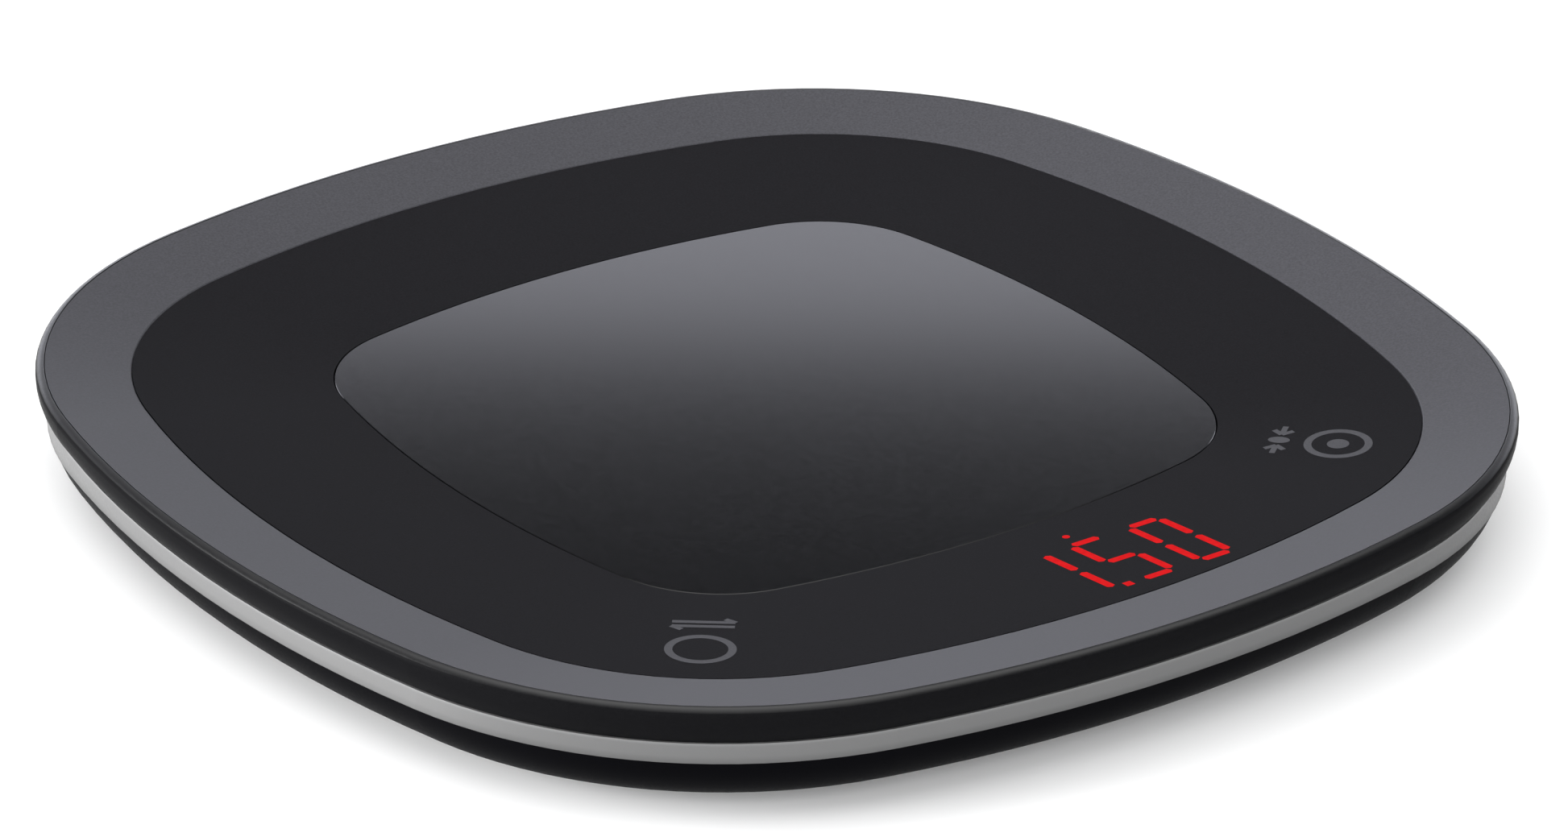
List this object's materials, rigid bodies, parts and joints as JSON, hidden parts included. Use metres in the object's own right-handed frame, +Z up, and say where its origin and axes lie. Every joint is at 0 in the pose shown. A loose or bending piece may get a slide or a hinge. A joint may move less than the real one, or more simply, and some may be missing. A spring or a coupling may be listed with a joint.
{
  "type": "kitchen scale",
  "caption": "Slim rounded-square digital kitchen scale with a shallow dished top, glossy centre plate, touch keys, lit display, silver side band and sprung load-cell feet",
  "frame": {"origin": "on the table under the middle of the scale", "axes": "+Z up, +X to the right of a person who reads the display, who stands on the -Y side"},
  "size_m": [0.2092, 0.2092, 0.0204],
  "materials": {
    "black_shell": "fine satin moulded surface",
    "grey_ring": "satin, fine grain",
    "panel_black": "matte, very fine grain",
    "plate_gloss": "glossy",
    "silver_trim": "satin silver",
    "foot_plastic": "moulded",
    "rubber_pad": "matte",
    "cell_steel": "ground steel",
    "bracket_plastic": "natural plastic",
    "gauge_film": "film under clear glue",
    "lead_insulation": "soft insulation",
    "board_green": "solder mask",
    "display_body": "black reflector block",
    "light_bar_red": "diffusing resin",
    "tinned_pin": "tinned",
    "chip_black": "moulded",
    "electrode_foil": "foil",
    "battery_label": "printed sleeve, no lettering",
    "contact_spring": "nickel plated strip",
    "screw_steel": "zinc plated"
  },
  "bodies": {
    "scale_body": {"base_shell": "black_shell", "battery_leads": "lead_insulation", "battery_link_contact": "contact_spring", "battery_negative_contact": "contact_spring", "battery_positive_contact": "contact_spring", "board_screws": "screw_steel", "bracket_screws": "screw_steel", "buzzer": "chip_black", "center_plate": "plate_gloss", "controller_chip": "chip_black", "converter_chip": "chip_black", "display_housing": "display_body", "display_light_bars": "light_bar_red", "display_pins": "tinned_pin", "front_battery": "battery_label", "front_left_cell_bracket": "bracket_plastic", "front_left_cell_leads": "lead_insulation", "front_left_load_cell": "cell_steel", "front_left_strain_gauge": "gauge_film", "front_right_cell_bracket": "bracket_plastic", "front_right_cell_leads": "lead_insulation", "front_right_load_cell": "cell_steel", "front_right_strain_gauge": "gauge_film", "housing_screws": "screw_steel", "main_board": "board_green", "rear_battery": "battery_label", "rear_left_cell_bracket": "bracket_plastic", "rear_left_cell_leads": "lead_insulation", "rear_left_load_cell": "cell_steel", "rear_left_strain_gauge": "gauge_film", "rear_right_cell_bracket": "bracket_plastic", "rear_right_cell_leads": "lead_insulation", "rear_right_load_cell": "cell_steel", "rear_right_strain_gauge": "gauge_film", "rim_ring": "grey_ring", "tare_key_electrode": "electrode_foil", "tare_key_lead": "lead_insulation", "top_shell": "black_shell", "touch_panel": "panel_black", "trim_band": "silver_trim", "unit_key_electrode": "electrode_foil", "unit_key_lead": "lead_insulation"},
    "battery_door": {"battery_door": "black_shell"},
    "front_left_foot": {"front_left_foot": "foot_plastic", "front_left_foot_pad": "rubber_pad"},
    "front_right_foot": {"front_right_foot": "foot_plastic", "front_right_foot_pad": "rubber_pad"},
    "rear_left_foot": {"rear_left_foot": "foot_plastic", "rear_left_foot_pad": "rubber_pad"},
    "rear_right_foot": {"rear_right_foot": "foot_plastic", "rear_right_foot_pad": "rubber_pad"}
  },
  "joints": [
    {"name": "battery_door_slide", "type": "slide", "parent": "scale_body", "child": "battery_door", "axis": [0, 1, 0], "range_m": [0, 0.006]},
    {"name": "front_left_foot_press", "type": "slide", "parent": "scale_body", "child": "front_left_foot", "axis": [0, 0, 1], "range_m": [0, 0.0004], "stiffness_N_per_m": 5000, "deforming": ["front_left_load_cell"]},
    {"name": "front_right_foot_press", "type": "slide", "parent": "scale_body", "child": "front_right_foot", "axis": [0, 0, 1], "range_m": [0, 0.0004], "stiffness_N_per_m": 5000, "deforming": ["front_right_load_cell"]},
    {"name": "rear_left_foot_press", "type": "slide", "parent": "scale_body", "child": "rear_left_foot", "axis": [0, 0, 1], "range_m": [0, 0.0004], "stiffness_N_per_m": 5000, "deforming": ["rear_left_load_cell"]},
    {"name": "rear_right_foot_press", "type": "slide", "parent": "scale_body", "child": "rear_right_foot", "axis": [0, 0, 1], "range_m": [0, 0.0004], "stiffness_N_per_m": 5000, "deforming": ["rear_right_load_cell"]}
  ]
}
